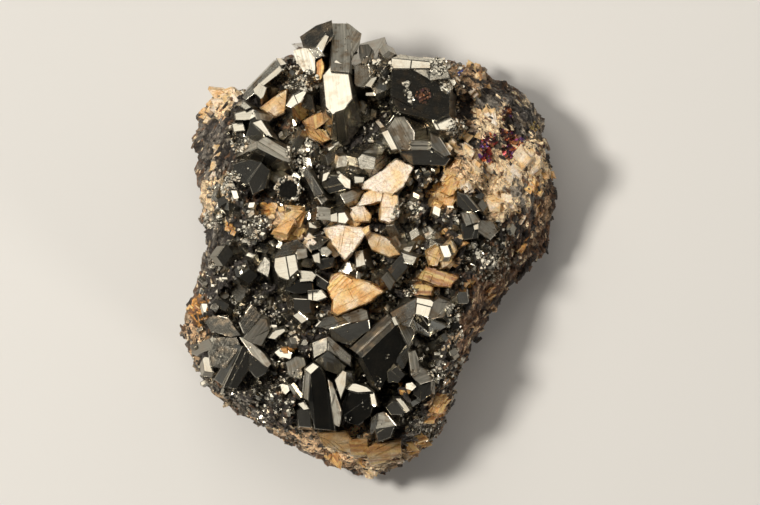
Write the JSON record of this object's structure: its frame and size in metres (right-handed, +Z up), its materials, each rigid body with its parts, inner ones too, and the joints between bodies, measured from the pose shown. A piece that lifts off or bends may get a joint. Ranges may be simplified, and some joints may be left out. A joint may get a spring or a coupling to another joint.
{
  "type": "tennantite specimen",
  "caption": "Mineral specimen: dark metallic tennantite crystals and tan siderite rhombs crowded on a lump of siderite rock with a flat back to rest on.",
  "frame": {"origin": "middle of the specimen's plan box, at the height of the flat underside that it rests on", "axes": "+Z up, out of the crystal face; +Y towards the crown, the end with the tallest crystals; +X to the right when the crystal face is seen from above with the crown at the far end"},
  "size_m": [0.0756, 0.092, 0.0408],
  "materials": {
    "tennantite": "grey-black metallic crystal faces, from mirror-bright to finely striated",
    "siderite": "cream to orange-tan rhombs with a pearly cleavage sheen",
    "rock": "rough tan and dark brown granular rock with tiny glittering crystals"
  },
  "bodies": {
    "root": {"bright_sliver": "tennantite", "broad_twin": "tennantite", "centre_left_group": "tennantite", "centre_right_group": "tennantite", "crossed_twin": "tennantite", "crown_block": "tennantite", "crown_group": "tennantite", "dark_dodecahedron": "tennantite", "great_prism_group": "tennantite", "grey_group": "tennantite", "lower_block": "tennantite", "lower_kite_crystal": "tennantite", "lower_right_crystal": "tennantite", "matrix": "rock", "middle_group": "tennantite", "middle_prism": "tennantite", "ridge_group": "tennantite", "right_group": "tennantite", "rimmed_crystal": "tennantite", "siderite_amber_grain": "siderite", "siderite_amber_pair": "siderite", "siderite_bottom_blocks": "siderite", "siderite_fan": "siderite", "siderite_kite": "siderite", "siderite_long_ridge": "siderite", "siderite_pink_block": "siderite", "siderite_right_chip": "siderite", "siderite_right_pair": "siderite", "siderite_right_rhomb": "siderite", "siderite_saddle": "siderite", "siderite_wedge": "siderite", "small_bright_block": "tennantite", "tall_prism": "tennantite", "three_faced_crystal": "tennantite", "upper_left_group": "tennantite"}
  },
  "joints": []
}
